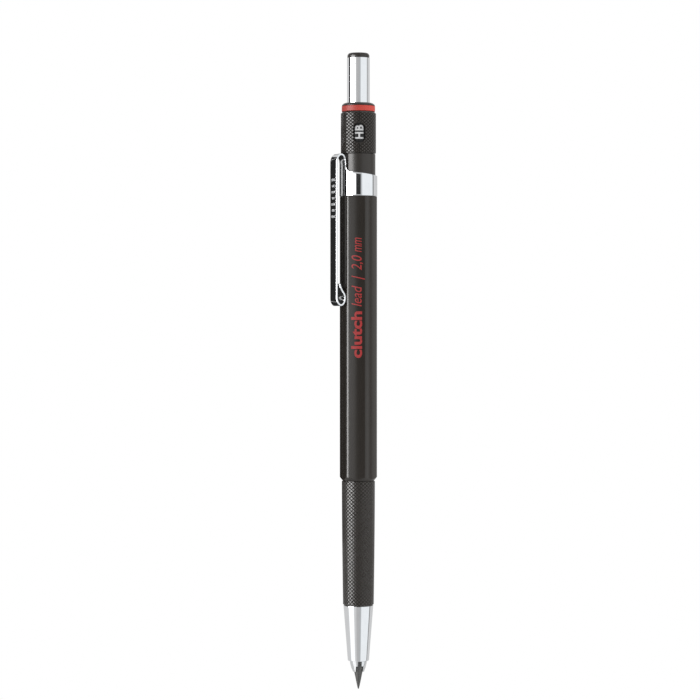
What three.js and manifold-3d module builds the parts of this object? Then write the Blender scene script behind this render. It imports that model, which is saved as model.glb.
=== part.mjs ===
// A 2 mm push-button clutch pencil (lead holder) as an assembly of separate pieces.
// Millimetres, +Z up. The pencil's axis is Z, the lead's point is at the origin and the button
// is at the top. The pocket clip is on the -X side, over one facet of the hexagonal barrel.

import * as THREE from 'three';
import { mergeVertices } from 'three/addons/utils/BufferGeometryUtils.js';
import Module from 'manifold-3d';

const wasm = await Module();
wasm.setup();

// Facets round a turned piece: outer pieces, slim inner pieces
const OUTER_SIDES = 36;
const INNER_SIDES = 24;

// Clearances: turned pieces that fit each other, and end faces that meet
const FIT = 0.05;
const FACE_GAP = 0.05;
const CUT_GAP = 0.3;

// Eased edges on outer pieces, room past the end of a spigot, and how far a cutter reaches past a piece
const EDGE_EASE = 0.12;
const SPIGOT_ROOM = 0.5;
const OVERSHOOT = 1;

// Heights of the joints between the visible pieces, from the lead's point up
const JAW_MOUTH_Z = 3.9;
const NOSE_Z = 6.34;
const GRIP_Z = 18.7;
const BARREL_Z = 46.5;
const BAND_Z = 109.8;
const SLEEVE_Z = 119.2;
const RING_Z = 128.6;
const END_COLLAR_Z = 129.8;
const BUTTON_BASE_Z = 130.5;
const PLUG_Z = 140.5;
const TOP_Z = 141.6;

// Lead
const LEAD_R = 1.0;
const LEAD_TIP_R = 0.13;
const LEAD_BULGE_R = 0.56;
const LEAD_BULGE_Z = 2.1;
const LEAD_MOUTH_R = 0.9;
const LEAD_TAPER_Z = 4.6;
const LEAD_TOP_Z = 118;

// Collet: jaws split from the body where their legs flex
const JAW_COUNT = 3;
const JAW_MOUTH_R = 1.31;
const JAW_STEP_R = 1.71;
const JAW_SHOULDER_R = 1.87;
const JAW_SHOULDER_Z = 6.14;
const JAW_HEAD_R = 1.92;
const JAW_HEAD_Z = 6.6;
const JAW_LEG_R = 1.5;
const JAW_LEG_Z = 8.7;
const JAW_ROOT_Z = 16.0;
const JAW_BORE_R = 1.05;
const JAW_SLOT = 0.83;
const JAW_MOUTH_SLOT = 1.5;
const JAW_STEP_Z = 5.2;
const JAW_SLOT_ANGLE = -103;
const COLLET_R = 1.75;
const COLLET_TOP_Z = 19.5;
const COLLET_SPIGOT_R = 1.4;
const COLLET_SPIGOT_Z = 23;
const COLLET_BORE_R = 1.08;

// Nose cone
const NOSE_MOUTH_R = 2.35;
const NOSE_TOP_R = 3.32;
const NOSE_JAW_BORE_R = 2.05;
const NOSE_GUIDE_R = 1.87;
const NOSE_GUIDE_Z = 12.2;
const NOSE_GUIDE_LEAD_IN = 0.8;
const NOSE_SPIGOT_R = 2.4;
const NOSE_SPIGOT_Z = 23;

// Grip and the brass bush in it
const GRIP_LOW_R = 3.37;
const GRIP_HIGH_R = 3.62;
const GRIP_BORE_R = 2.9;
const GRIP_SPIGOT_R = 3.1;
const GRIP_SPIGOT_Z = 54;
const GRIP_SPIGOT_BORE_R = 2.65;
const GRIP_STEP_DEPTH = 1;
const BUSH_LOW_Z = 19.2;
const BUSH_SEAT_Z = 23.3;
const BUSH_TOP_Z = 24.3;
const BUSH_SEAT_BORE_R = 1.9;

// Return spring and the collar on the tube that it pushes up
const SPRING_LOW_Z = 24.6;
const SPRING_HIGH_Z = 37.8;
const SPRING_R = 2.2;
const WIRE_R = 0.18;
const SPRING_TURNS = 9;
const SPRING_STEPS_PER_TURN = 12;
const COLLAR_LOW_Z = 38.1;
const COLLAR_HIGH_Z = 40;
const COLLAR_R = 2.5;

// Lead tube
const TUBE_R = 1.75;
const TUBE_BORE_R = 1.45;
const TUBE_TOP_Z = 132.5;

// Barrel: a hexagon with rounded corners
const HEX_APOTHEM = 3.75;
const HEX_FILLET = 1.65;
const HEX_CORNER_R = (HEX_APOTHEM - HEX_FILLET) / Math.cos(Math.PI / 6) + HEX_FILLET;
const BARREL_BEVEL = 0.55;
const BARREL_BEVEL_R = 3.55;
const BARREL_LOW_BORE_R = 3.15;
const BARREL_BORE_R = 2.9;

// Neck collar, with a flat under the clip's band and tab
const NECK_R = 3.74;
const NECK_FLAT_U = 3.3;
const NECK_SPIGOT_R = 2.85;
const NECK_SPIGOT_Z = 101;
const NECK_GUIDE_R = 1.85;
const NECK_BORE_R = 2.75;
const NECK_BORE_Z = 110.5;

// Pocket clip: sheet thickness, band, tab, arch, strip and folded end.
// U is a distance from the axis, towards -X
const SHEET = 0.45;
const CLIP_WIDTH = 3;
const BAND_R = 4.2;
const BAND_NEAR_Z = 115.2;
const BAND_FAR_Z = 114.2;
const TAB_FACE_U = 3.95;
const TAB_TOP_Z = 117.1;
const STRIP_FACE_U = 6.1;
const ARCH_LOW_Z = TAB_TOP_Z + CUT_GAP;
const ARCH_TOP_Z = 119.1;
const FOLD_LOW_Z = 85.4;
const FOLD_WIDE_Z = 87.2;
const FOLD_END_Z = 90.3;
const FOLD_FACE_U = 3.8;
const FOLD_END_U = 5.1;
const FOLD_CURVE_IN = 1.1;
const FOLD_CURVE_OUT = 1.6;

// Scale sleeve (printed grades), the knurled sleeve that turns on it, and its window
const SCALE_R = 3.2;
const SCALE_LOW_Z = 111;
const SCALE_SPIGOT_R = 2.7;
const SCALE_TUBE_BORE_R = 1.95;
const SCALE_WELL_R = 2.65;
const SCALE_WELL_Z = 122;
const SCALE_TIP_R = 3.0;
const SCALE_TIP_Z = 130;
const GRADE_R = 3.85;
const GRADE_TOP_R = 3.62;
const GRADE_BORE_R = 3.3;
const GRADE_BEVEL = 0.3;
const WINDOW_WIDTH = 2.7;
const WINDOW_HEIGHT = 4.4;
const WINDOW_Z = 123.7;
const WINDOW_ANGLE = -110.5;

// Red ring and end collar
const RING_R = 3.7;
const END_COLLAR_R = 3.67;
const END_COLLAR_BORE_R = 2.6;
const END_COLLAR_TOP_R = 2.95;

// Push button, with the lead pointer inside it
const BUTTON_R = 2.52;
const BUTTON_BORE_R = 2.25;
const BUTTON_LOW_Z = 126;
const PLUG_R = 2.45;
const PLUG_ROUND = 0.8;
const PLUG_SPIGOT_Z = 138.2;
const INSERT_R = 2.2;
const INSERT_LOW_Z = 127;
const INSERT_HIGH_Z = 137.8;
const INSERT_BORE_R = 1.8;
const POINTER_CONE_Z = 133;
const POINTER_TIP_Z = 137;
const POINTER_TIP_R = 0.15;
const BLADE_THICK = 0.3;
const BLADE_WIDTH = 1.9;
const BLADE_LENGTH = 3.4;
const BLADE_SLOT_GAP = 0.1;

const colours = {
  graphite: 0x3a3b3d,
  steel: 0xa9adb0,
  chrome: 0xd8dcdf,
  brass: 0xb08d4c,
  blackPlastic: 0x232321,
  redPlastic: 0xc8372d,
  tube: 0x2c2c2b,
};

const material = (colour, roughness, metalness) =>
  new THREE.MeshStandardMaterial({ color: colour, roughness, metalness });

const graphite = () => material(colours.graphite, 0.55, 0.2);
const steel = () => material(colours.steel, 0.35, 1);
const chrome = () => material(colours.chrome, 0.1, 1);
const brass = () => material(colours.brass, 0.35, 1);
const black = () => material(colours.blackPlastic, 0.4, 0);
const red = () => material(colours.redPlastic, 0.35, 0);
const tubePlastic = () => material(colours.tube, 0.5, 0);

const degrees = (angle) => (angle * Math.PI) / 180;

// Merges a geometry's vertices, drops the triangles that collapse, and turns its faces outwards
function closed(geometry) {
  geometry.deleteAttribute('normal');
  geometry.deleteAttribute('uv');
  const merged = mergeVertices(geometry, 1e-5);
  const position = merged.getAttribute('position');
  const corner = [new THREE.Vector3(), new THREE.Vector3(), new THREE.Vector3()];
  const kept = [];
  let volume = 0;
  for (let i = 0; i < merged.index.count; i += 3) {
    const ids = [0, 1, 2].map((k) => merged.index.getX(i + k));
    if (new Set(ids).size < 3) continue;
    ids.forEach((id, k) => corner[k].fromBufferAttribute(position, id));
    volume += corner[0].dot(corner[1].clone().cross(corner[2]));
    kept.push(ids);
  }
  const faces = volume < 0 ? kept.map(([a, b, c]) => [a, c, b]) : kept;
  merged.setIndex(faces.flat());
  return merged;
}

function solid(geometry) {
  const whole = closed(geometry);
  const vertProperties = new Float32Array(whole.getAttribute('position').array);
  const triVerts = new Uint32Array(whole.index.array);
  return new wasm.Manifold(new wasm.Mesh({ numProp: 3, vertProperties, triVerts }));
}

function surface(body) {
  const { vertProperties, triVerts } = body.getMesh();
  const geometry = new THREE.BufferGeometry();
  geometry.setAttribute('position', new THREE.BufferAttribute(new Float32Array(vertProperties), 3));
  geometry.setIndex(new THREE.BufferAttribute(new Uint32Array(triVerts), 1));
  return geometry;
}

// A turned piece about Z. The outline is a list of [radius, height] that starts and ends on the
// axis, or a ring's section, which is closed here.
function turned(outline, sides = OUTER_SIDES) {
  const points = outline.map(([r, z]) => new THREE.Vector2(r, z));
  const onAxis = points[0].x === 0 && points.at(-1).x === 0;
  if (!onAxis) points.push(points[0].clone());
  return new THREE.LatheGeometry(points, sides).rotateX(Math.PI / 2);
}

// [radius, height] points on a quarter round or other arc, for a turned outline
function arc(centreR, centreZ, radius, from, to, steps) {
  return Array.from({ length: steps + 1 }, (_, i) => {
    const angle = degrees(from + ((to - from) * i) / steps);
    return [centreR + radius * Math.cos(angle), centreZ + radius * Math.sin(angle)];
  });
}

function block(sizeX, sizeY, sizeZ, x, y, z) {
  return new THREE.BoxGeometry(sizeX, sizeY, sizeZ).translate(x, y, z);
}

// A bent sheet strip in the XZ plane: the centreline's points are offset by half the sheet to each
// side, and the outline is extruded to the strip's width across Y
function bentStrip(path, width) {
  const points = path.getPoints(10).filter((p, i, all) => i === 0 || p.distanceTo(all[i - 1]) > 1e-6);
  const offset = (side) =>
    points.map((p, i) => {
      const before = points[Math.max(i - 1, 0)];
      const after = points[Math.min(i + 1, points.length - 1)];
      const along = after.clone().sub(before).normalize();
      return new THREE.Vector2(p.x - along.y * side, p.y + along.x * side);
    });
  const outline = [...offset(SHEET / 2), ...offset(-SHEET / 2).reverse()];
  const strip = new THREE.ExtrudeGeometry(new THREE.Shape(outline), { depth: width, bevelEnabled: false });
  return strip.translate(0, 0, -width / 2).rotateX(Math.PI / 2);
}

function leadGeometry() {
  const tip = [
    [0, 0],
    [LEAD_TIP_R, 0],
    [LEAD_BULGE_R, LEAD_BULGE_Z],
    [LEAD_MOUTH_R, JAW_MOUTH_Z],
    [LEAD_R, LEAD_TAPER_Z],
  ];
  return closed(turned([...tip, [LEAD_R, LEAD_TOP_Z], [0, LEAD_TOP_Z]], INNER_SIDES));
}

// A prism with the section of one third of a slotted ring: its sides lie half a slot in from the
// planes through the axis
function wedge(slot, low, high) {
  const reach = 4;
  const half = Math.PI / JAW_COUNT;
  const apex = slot / 2 / Math.sin(half);
  const sector = new THREE.Shape([
    new THREE.Vector2(apex, 0),
    new THREE.Vector2(apex + reach * Math.cos(half), -reach * Math.sin(half)),
    new THREE.Vector2(apex + reach, 0),
    new THREE.Vector2(apex + reach * Math.cos(half), reach * Math.sin(half)),
  ]);
  const prism = new THREE.ExtrudeGeometry(sector, { depth: high - low, bevelEnabled: false });
  return prism.translate(0, 0, low);
}

// One jaw of the collet. Its slots widen at the mouth
function jawGeometry(index) {
  const ring = solid(
    turned([
      [JAW_BORE_R, JAW_MOUTH_Z],
      [JAW_MOUTH_R, JAW_MOUTH_Z],
      [JAW_STEP_R, JAW_STEP_Z],
      [JAW_SHOULDER_R, JAW_SHOULDER_Z],
      [JAW_HEAD_R, JAW_HEAD_Z],
      [JAW_LEG_R, JAW_LEG_Z],
      [JAW_LEG_R, JAW_ROOT_Z],
      [JAW_BORE_R, JAW_ROOT_Z],
    ]),
  );
  const middle = degrees(JAW_SLOT_ANGLE) + (Math.PI / JAW_COUNT) * (2 * index + 1);
  const leg = wedge(JAW_SLOT, JAW_STEP_Z, JAW_ROOT_Z + OVERSHOOT).rotateZ(middle);
  const mouth = wedge(JAW_MOUTH_SLOT, JAW_MOUTH_Z - OVERSHOOT, JAW_STEP_Z).rotateZ(middle);
  return surface(ring.intersect(solid(leg).add(solid(mouth))));
}

function colletBodyGeometry() {
  return closed(
    turned(
      [
        [COLLET_BORE_R, JAW_ROOT_Z + CUT_GAP],
        [COLLET_R, JAW_ROOT_Z + CUT_GAP],
        [COLLET_R, COLLET_TOP_Z],
        [COLLET_SPIGOT_R, COLLET_TOP_Z],
        [COLLET_SPIGOT_R, COLLET_SPIGOT_Z],
        [COLLET_BORE_R, COLLET_SPIGOT_Z],
      ],
      INNER_SIDES,
    ),
  );
}

function noseConeGeometry() {
  return closed(
    turned([
      [NOSE_JAW_BORE_R, NOSE_Z],
      [NOSE_MOUTH_R - EDGE_EASE, NOSE_Z],
      [NOSE_MOUTH_R, NOSE_Z + EDGE_EASE],
      [NOSE_TOP_R, GRIP_Z],
      [NOSE_SPIGOT_R, GRIP_Z],
      [NOSE_SPIGOT_R, NOSE_SPIGOT_Z],
      [NOSE_GUIDE_R, NOSE_SPIGOT_Z],
      [NOSE_GUIDE_R, NOSE_GUIDE_Z],
      [NOSE_JAW_BORE_R, NOSE_GUIDE_Z - NOSE_GUIDE_LEAD_IN],
    ]),
  );
}

function frontBushGeometry() {
  return closed(
    turned(
      [
        [NOSE_SPIGOT_R + FIT, BUSH_LOW_Z],
        [GRIP_BORE_R - FIT, BUSH_LOW_Z],
        [GRIP_BORE_R - FIT, BUSH_TOP_Z],
        [BUSH_SEAT_BORE_R, BUSH_TOP_Z],
        [BUSH_SEAT_BORE_R, BUSH_SEAT_Z],
        [NOSE_SPIGOT_R + FIT, BUSH_SEAT_Z],
      ],
      INNER_SIDES,
    ),
  );
}

class Helix extends THREE.Curve {
  getPoint(t, target = new THREE.Vector3()) {
    const angle = 2 * Math.PI * SPRING_TURNS * t;
    const rise = SPRING_HIGH_Z - SPRING_LOW_Z - 2 * WIRE_R;
    const z = SPRING_LOW_Z + WIRE_R + rise * t;
    return target.set(SPRING_R * Math.cos(angle), SPRING_R * Math.sin(angle), z);
  }
}

function returnSpringGeometry() {
  const sides = 6;
  const section = new THREE.Shape(
    Array.from({ length: sides }, (_, i) => {
      const angle = (2 * Math.PI * i) / sides;
      return new THREE.Vector2(WIRE_R * Math.cos(angle), WIRE_R * Math.sin(angle));
    }),
  );
  const steps = SPRING_TURNS * SPRING_STEPS_PER_TURN;
  return closed(new THREE.ExtrudeGeometry(section, { steps, extrudePath: new Helix() }));
}

function tubeCollarGeometry() {
  const bore = TUBE_R + FIT;
  return closed(
    turned(
      [
        [bore, COLLAR_LOW_Z],
        [COLLAR_R, COLLAR_LOW_Z],
        [COLLAR_R, COLLAR_HIGH_Z],
        [bore, COLLAR_HIGH_Z],
      ],
      INNER_SIDES,
    ),
  );
}

function leadTubeGeometry() {
  return closed(
    turned(
      [
        [TUBE_BORE_R, COLLET_TOP_Z + CUT_GAP],
        [TUBE_R, COLLET_TOP_Z + CUT_GAP],
        [TUBE_R, TUBE_TOP_Z],
        [TUBE_BORE_R, TUBE_TOP_Z],
      ],
      INNER_SIDES,
    ),
  );
}

function gripGeometry() {
  const low = GRIP_Z + FACE_GAP;
  const high = BARREL_Z - FACE_GAP;
  return closed(
    turned([
      [GRIP_BORE_R, low],
      [GRIP_LOW_R - EDGE_EASE, low],
      [GRIP_LOW_R, low + 2 * EDGE_EASE],
      [GRIP_HIGH_R, high],
      [GRIP_SPIGOT_R, high],
      [GRIP_SPIGOT_R, GRIP_SPIGOT_Z],
      [GRIP_SPIGOT_BORE_R, GRIP_SPIGOT_Z],
      [GRIP_SPIGOT_BORE_R, high - GRIP_STEP_DEPTH],
      [GRIP_BORE_R, high - GRIP_STEP_DEPTH - SPIGOT_ROOM],
    ]),
  );
}

// The rounded hexagon's corners lie between the facets, which face 0, 60, 120 degrees and so on
function hexagon() {
  const shape = new THREE.Shape();
  const centre = HEX_CORNER_R - HEX_FILLET;
  for (let corner = 0; corner < 6; corner += 1) {
    const angle = degrees(30 + 60 * corner);
    const x = centre * Math.cos(angle);
    const y = centre * Math.sin(angle);
    shape.absarc(x, y, HEX_FILLET, angle - Math.PI / 6, angle + Math.PI / 6, false);
  }
  return shape;
}

function barrelGeometry() {
  const high = BAND_Z - FACE_GAP;
  const depth = high - BARREL_Z;
  const prism = new THREE.ExtrudeGeometry(hexagon(), { depth, curveSegments: 6, bevelEnabled: false });
  const bored = turned([
    [BARREL_LOW_BORE_R, BARREL_Z],
    [BARREL_BEVEL_R, BARREL_Z],
    [HEX_CORNER_R + EDGE_EASE, BARREL_Z + BARREL_BEVEL],
    [HEX_CORNER_R + EDGE_EASE, high + OVERSHOOT],
    [BARREL_BORE_R, high + OVERSHOOT],
    [BARREL_BORE_R, GRIP_SPIGOT_Z + SPIGOT_ROOM],
    [BARREL_LOW_BORE_R, GRIP_SPIGOT_Z + SPIGOT_ROOM],
  ]);
  return surface(solid(prism.translate(0, 0, BARREL_Z)).intersect(solid(bored)));
}

function neckCollarGeometry() {
  const body = turned([
    [NECK_GUIDE_R, NECK_SPIGOT_Z],
    [NECK_SPIGOT_R, NECK_SPIGOT_Z],
    [NECK_SPIGOT_R, BAND_Z],
    [NECK_R, BAND_Z],
    [NECK_R, SLEEVE_Z - FACE_GAP],
    [NECK_BORE_R, SLEEVE_Z - FACE_GAP],
    [NECK_BORE_R, NECK_BORE_Z],
    [NECK_GUIDE_R, NECK_BORE_Z],
  ]);
  const height = SLEEVE_Z - BAND_Z + OVERSHOOT;
  const flat = block(OVERSHOOT, 2 * NECK_R, height, -NECK_FLAT_U - OVERSHOOT / 2, 0, BAND_Z + height / 2);
  return surface(solid(body).subtract(solid(flat)));
}

// A circle cut off straight on its -X side, at distance u from its centre
function cutCircle(shape, radius, u) {
  const half = Math.acos(u / radius);
  return shape.absarc(0, 0, radius, half - Math.PI, Math.PI - half, false);
}

function clipBandGeometry() {
  const section = cutCircle(new THREE.Shape(), BAND_R, TAB_FACE_U);
  section.holes.push(cutCircle(new THREE.Path(), BAND_R - SHEET, TAB_FACE_U - SHEET));
  const depth = BAND_NEAR_Z + OVERSHOOT - BAND_Z;
  const ring = new THREE.ExtrudeGeometry(section, { depth, curveSegments: OUTER_SIDES, bevelEnabled: false });
  ring.translate(0, 0, BAND_Z);
  const slope = Math.atan((BAND_NEAR_Z - BAND_FAR_Z) / (2 * BAND_R));
  const trim = 6;
  const above = block(20, 20, trim, 0, 0, trim / 2).rotateY(slope);
  above.translate(0, 0, (BAND_NEAR_Z + BAND_FAR_Z) / 2);
  const tabLow = BAND_FAR_Z;
  const rise = TAB_TOP_Z - tabLow;
  const tab = block(SHEET, CLIP_WIDTH, rise, SHEET / 2 - TAB_FACE_U, 0, tabLow + rise / 2);
  return surface(solid(ring).subtract(solid(above)).add(solid(tab)));
}

function clipArmGeometry() {
  const tabU = TAB_FACE_U - SHEET / 2;
  const stripU = STRIP_FACE_U - SHEET / 2;
  const foldU = FOLD_FACE_U + SHEET / 2;
  const archRise = ARCH_TOP_Z - SHEET / 2 - ARCH_LOW_Z;
  const foldDrop = FOLD_WIDE_Z - FOLD_LOW_Z - SHEET / 2;
  const archU = (tabU + stripU) / 2;
  const turnU = (foldU + stripU) / 2;
  const at = (u, z) => new THREE.Vector2(-u, z);
  const path = new THREE.CurvePath();
  path.add(new THREE.EllipseCurve(-archU, ARCH_LOW_Z, archU - tabU, archRise, 0, Math.PI, false));
  path.add(new THREE.LineCurve(at(stripU, ARCH_LOW_Z), at(stripU, FOLD_WIDE_Z)));
  path.add(new THREE.EllipseCurve(-turnU, FOLD_WIDE_Z, stripU - turnU, foldDrop, Math.PI, 2 * Math.PI, false));
  path.add(
    new THREE.CubicBezierCurve(
      at(foldU, FOLD_WIDE_Z),
      at(foldU, FOLD_WIDE_Z + FOLD_CURVE_IN),
      at(FOLD_END_U, FOLD_END_Z - FOLD_CURVE_OUT),
      at(FOLD_END_U, FOLD_END_Z),
    ),
  );
  return closed(bentStrip(path, CLIP_WIDTH));
}

function scaleSleeveGeometry() {
  return closed(
    turned([
      [SCALE_TUBE_BORE_R, SCALE_LOW_Z],
      [SCALE_SPIGOT_R, SCALE_LOW_Z],
      [SCALE_SPIGOT_R, SLEEVE_Z],
      [SCALE_R, SLEEVE_Z],
      [SCALE_R, RING_Z - FACE_GAP],
      [SCALE_TIP_R, RING_Z - FACE_GAP],
      [SCALE_TIP_R, SCALE_TIP_Z],
      [SCALE_WELL_R, SCALE_TIP_Z],
      [SCALE_WELL_R, SCALE_WELL_Z],
      [SCALE_TUBE_BORE_R, SCALE_WELL_Z],
    ]),
  );
}

function gradeSleeveGeometry() {
  const low = SLEEVE_Z + FACE_GAP;
  const high = RING_Z - FACE_GAP;
  const shell = turned([
    [GRADE_BORE_R, low],
    [GRADE_R, low],
    [GRADE_R, high - GRADE_BEVEL],
    [GRADE_TOP_R, high],
    [GRADE_BORE_R, high],
  ]);
  const round = WINDOW_WIDTH / 2;
  const rise = WINDOW_HEIGHT / 2 - round;
  const stadium = new THREE.Shape();
  stadium.absarc(0, rise, round, 0, Math.PI, false);
  stadium.absarc(0, -rise, round, Math.PI, 2 * Math.PI, false);
  const punch = new THREE.ExtrudeGeometry(stadium, { depth: 6, curveSegments: 10, bevelEnabled: false });
  punch.rotateX(Math.PI / 2).rotateZ(degrees(WINDOW_ANGLE + 90)).translate(0, 0, WINDOW_Z);
  return surface(solid(shell).subtract(solid(punch)));
}

function redRingGeometry() {
  return closed(
    turned([
      [SCALE_TIP_R + FIT, RING_Z],
      [RING_R, RING_Z],
      [RING_R, END_COLLAR_Z],
      [SCALE_TIP_R + FIT, END_COLLAR_Z],
    ]),
  );
}

function endCollarGeometry() {
  const low = END_COLLAR_Z + FACE_GAP;
  return closed(
    turned([
      [SCALE_TIP_R + FIT, low],
      [END_COLLAR_R, low],
      [END_COLLAR_R - EDGE_EASE, low + 2 * EDGE_EASE],
      [END_COLLAR_TOP_R, BUTTON_BASE_Z],
      [END_COLLAR_BORE_R, BUTTON_BASE_Z],
      [END_COLLAR_BORE_R, SCALE_TIP_Z + FACE_GAP],
      [SCALE_TIP_R + FIT, SCALE_TIP_Z + FACE_GAP],
    ]),
  );
}

function buttonSleeveGeometry() {
  return closed(
    turned([
      [BUTTON_BORE_R, BUTTON_LOW_Z],
      [BUTTON_R, BUTTON_LOW_Z],
      [BUTTON_R, PLUG_Z],
      [BUTTON_BORE_R, PLUG_Z],
    ]),
  );
}

function buttonPlugGeometry() {
  const low = PLUG_Z + FACE_GAP;
  const spigotR = BUTTON_BORE_R - FIT;
  return closed(
    turned([
      [0, PLUG_SPIGOT_Z],
      [spigotR, PLUG_SPIGOT_Z],
      [spigotR, low],
      [PLUG_R, low],
      ...arc(PLUG_R - PLUG_ROUND, TOP_Z - PLUG_ROUND, PLUG_ROUND, 0, 90, 4),
      [0, TOP_Z],
    ]),
  );
}

// The blade lies along the pointer's cone, in a slot that opens through the insert's side
const coneHalfAngle = Math.atan((INSERT_BORE_R - POINTER_TIP_R) / (POINTER_TIP_Z - POINTER_CONE_Z));
const bladeU = (INSERT_BORE_R + POINTER_TIP_R) / 2;
const bladeZ = (POINTER_CONE_Z + POINTER_TIP_Z) / 2;

function layOnCone(geometry) {
  return geometry.rotateY(-coneHalfAngle).translate(bladeU, 0, bladeZ);
}

function buttonInsertGeometry() {
  const body = turned(
    [
      [0, POINTER_TIP_Z],
      [POINTER_TIP_R, POINTER_TIP_Z],
      [INSERT_BORE_R, POINTER_CONE_Z],
      [INSERT_BORE_R, INSERT_LOW_Z],
      [INSERT_R, INSERT_LOW_Z],
      [INSERT_R, INSERT_HIGH_Z],
      [0, INSERT_HIGH_Z],
    ],
    INNER_SIDES,
  );
  const reach = 3;
  const slot = block(
    BLADE_THICK + BLADE_SLOT_GAP + reach,
    BLADE_WIDTH + 2 * BLADE_SLOT_GAP,
    BLADE_LENGTH + 2 * BLADE_SLOT_GAP,
    (BLADE_THICK - BLADE_SLOT_GAP + reach) / 2,
    0,
    0,
  );
  return surface(solid(body).subtract(solid(layOnCone(slot))));
}

function pointerBladeGeometry() {
  return closed(layOnCone(block(BLADE_THICK, BLADE_WIDTH, BLADE_LENGTH, BLADE_THICK / 2, 0, 0)));
}

const pencil = new THREE.Group();

function add(name, geometry, finish) {
  const mesh = new THREE.Mesh(geometry, finish);
  mesh.name = name;
  pencil.add(mesh);
}

add('lead', leadGeometry(), graphite());
for (let jaw = 0; jaw < JAW_COUNT; jaw += 1) {
  add(`collet_jaw_${jaw + 1}`, jawGeometry(jaw), steel());
}
add('collet_body', colletBodyGeometry(), steel());
add('nose_cone', noseConeGeometry(), chrome());
add('front_bush', frontBushGeometry(), brass());
add('return_spring', returnSpringGeometry(), steel());
add('tube_collar', tubeCollarGeometry(), brass());
add('lead_tube', leadTubeGeometry(), tubePlastic());
add('grip', gripGeometry(), black());
add('barrel', barrelGeometry(), black());
add('neck_collar', neckCollarGeometry(), black());
add('clip_band', clipBandGeometry(), chrome());
add('clip_arm', clipArmGeometry(), chrome());
add('scale_sleeve', scaleSleeveGeometry(), black());
add('grade_sleeve', gradeSleeveGeometry(), black());
add('red_ring', redRingGeometry(), red());
add('end_collar', endCollarGeometry(), black());
add('button_sleeve', buttonSleeveGeometry(), chrome());
add('button_plug', buttonPlugGeometry(), black());
add('button_insert', buttonInsertGeometry(), black());
add('pointer_blade', pointerBladeGeometry(), steel());

export default pencil;
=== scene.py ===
"""Looks of a 2 mm clutch pencil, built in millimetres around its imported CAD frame."""

import math

import bmesh
import bpy
from mathutils import Matrix, Vector


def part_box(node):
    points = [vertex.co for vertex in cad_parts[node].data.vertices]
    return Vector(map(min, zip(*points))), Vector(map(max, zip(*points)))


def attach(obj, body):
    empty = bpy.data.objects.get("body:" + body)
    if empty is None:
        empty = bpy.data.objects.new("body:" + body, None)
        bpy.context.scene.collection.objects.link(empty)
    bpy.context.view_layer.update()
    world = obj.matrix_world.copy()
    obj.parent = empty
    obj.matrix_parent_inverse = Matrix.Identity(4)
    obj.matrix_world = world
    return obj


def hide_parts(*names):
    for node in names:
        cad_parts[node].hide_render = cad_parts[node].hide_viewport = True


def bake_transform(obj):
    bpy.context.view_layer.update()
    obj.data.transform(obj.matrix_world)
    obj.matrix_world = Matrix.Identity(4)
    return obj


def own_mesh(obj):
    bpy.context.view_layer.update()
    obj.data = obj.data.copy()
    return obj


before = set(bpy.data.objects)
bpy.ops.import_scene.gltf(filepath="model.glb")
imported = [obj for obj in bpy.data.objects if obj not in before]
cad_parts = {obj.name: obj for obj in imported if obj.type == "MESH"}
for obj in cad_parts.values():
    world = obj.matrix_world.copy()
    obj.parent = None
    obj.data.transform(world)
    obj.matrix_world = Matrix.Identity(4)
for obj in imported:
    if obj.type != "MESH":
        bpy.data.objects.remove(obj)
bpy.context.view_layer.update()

MM = 0.001
TURN = 2 * math.pi

# Directions round the pencil, as angles about +Z in degrees
PRINT_AT = 240
WINDOW_AT = 249.5
CAMERA_AT = 246.5
SLOT_AT = 257

# The window's middle, and the radius of the printed sleeve behind it, in mm
WINDOW_Z = 123.7
SCALE_R = 3.2


def low(node):
    """A node's lowest corner at rest, in mm."""
    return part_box(node)[0] / MM


def high(node):
    """A node's highest corner at rest, in mm."""
    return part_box(node)[1] / MM


def radius(node):
    """A turned node's largest radius, in mm."""
    return high(node).y


# ---------------------------------------------------------------- mesh helpers


def around(angle, r, z):
    """The point at that angle in radians, radius and height."""
    return Vector((r * math.cos(angle), r * math.sin(angle), z))


def eased(outline, steps=3, hold=0.05):
    """Rounds an outline of (r, z, fillet) corners. Each rounding is held by a close point on each side, so
    that smooth shading stays in the corner."""
    points = []
    for i, (r, z, fillet) in enumerate(outline):
        corner = Vector((r, z))
        if not fillet:
            points.append(corner)
            continue
        back = Vector(outline[i - 1][:2]) - corner
        ahead = Vector(outline[(i + 1) % len(outline)][:2]) - corner
        reach = min(fillet, 0.4 * back.length, 0.4 * ahead.length)
        back.normalize()
        ahead.normalize()
        start, end = corner + back * reach, corner + ahead * reach
        points.append(start + back * min(hold, reach / 2))
        for k in range(steps + 1):
            t = k / steps
            points.append(start * (1 - t) ** 2 + corner * 2 * t * (1 - t) + end * t**2)
        points.append(end + ahead * min(hold, reach / 2))
    return points


def loft(rings, closed=True):
    """A bmesh skin over rings of points. A ring of one point is a pole. A closed loft joins its last ring to
    its first."""
    bm = bmesh.new()
    made = [[bm.verts.new(p) for p in ring] for ring in rings]
    pairs = list(zip(made, made[1:]))
    if closed:
        pairs.append((made[-1], made[0]))
    for a, b in pairs:
        count = max(len(a), len(b))
        for i in range(count):
            j = (i + 1) % count
            corners = [a[i % len(a)], a[j % len(a)], b[j % len(b)], b[i % len(b)]]
            bm.faces.new(list(dict.fromkeys(corners)))
    return bm


def turned(outline, sides=96, steps=3):
    """A turned solid about Z from (r, z, fillet) corners. It starts and ends on the axis, or it is a ring's
    section."""
    points = eased(outline, steps)
    on_axis = points[0].x < 1e-9
    rings = [
        [around(TURN * i / sides, p.x, p.y) for i in range(sides if p.x > 1e-9 else 1)]
        for p in points
    ]
    return loft(rings, closed=not on_axis)


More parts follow.
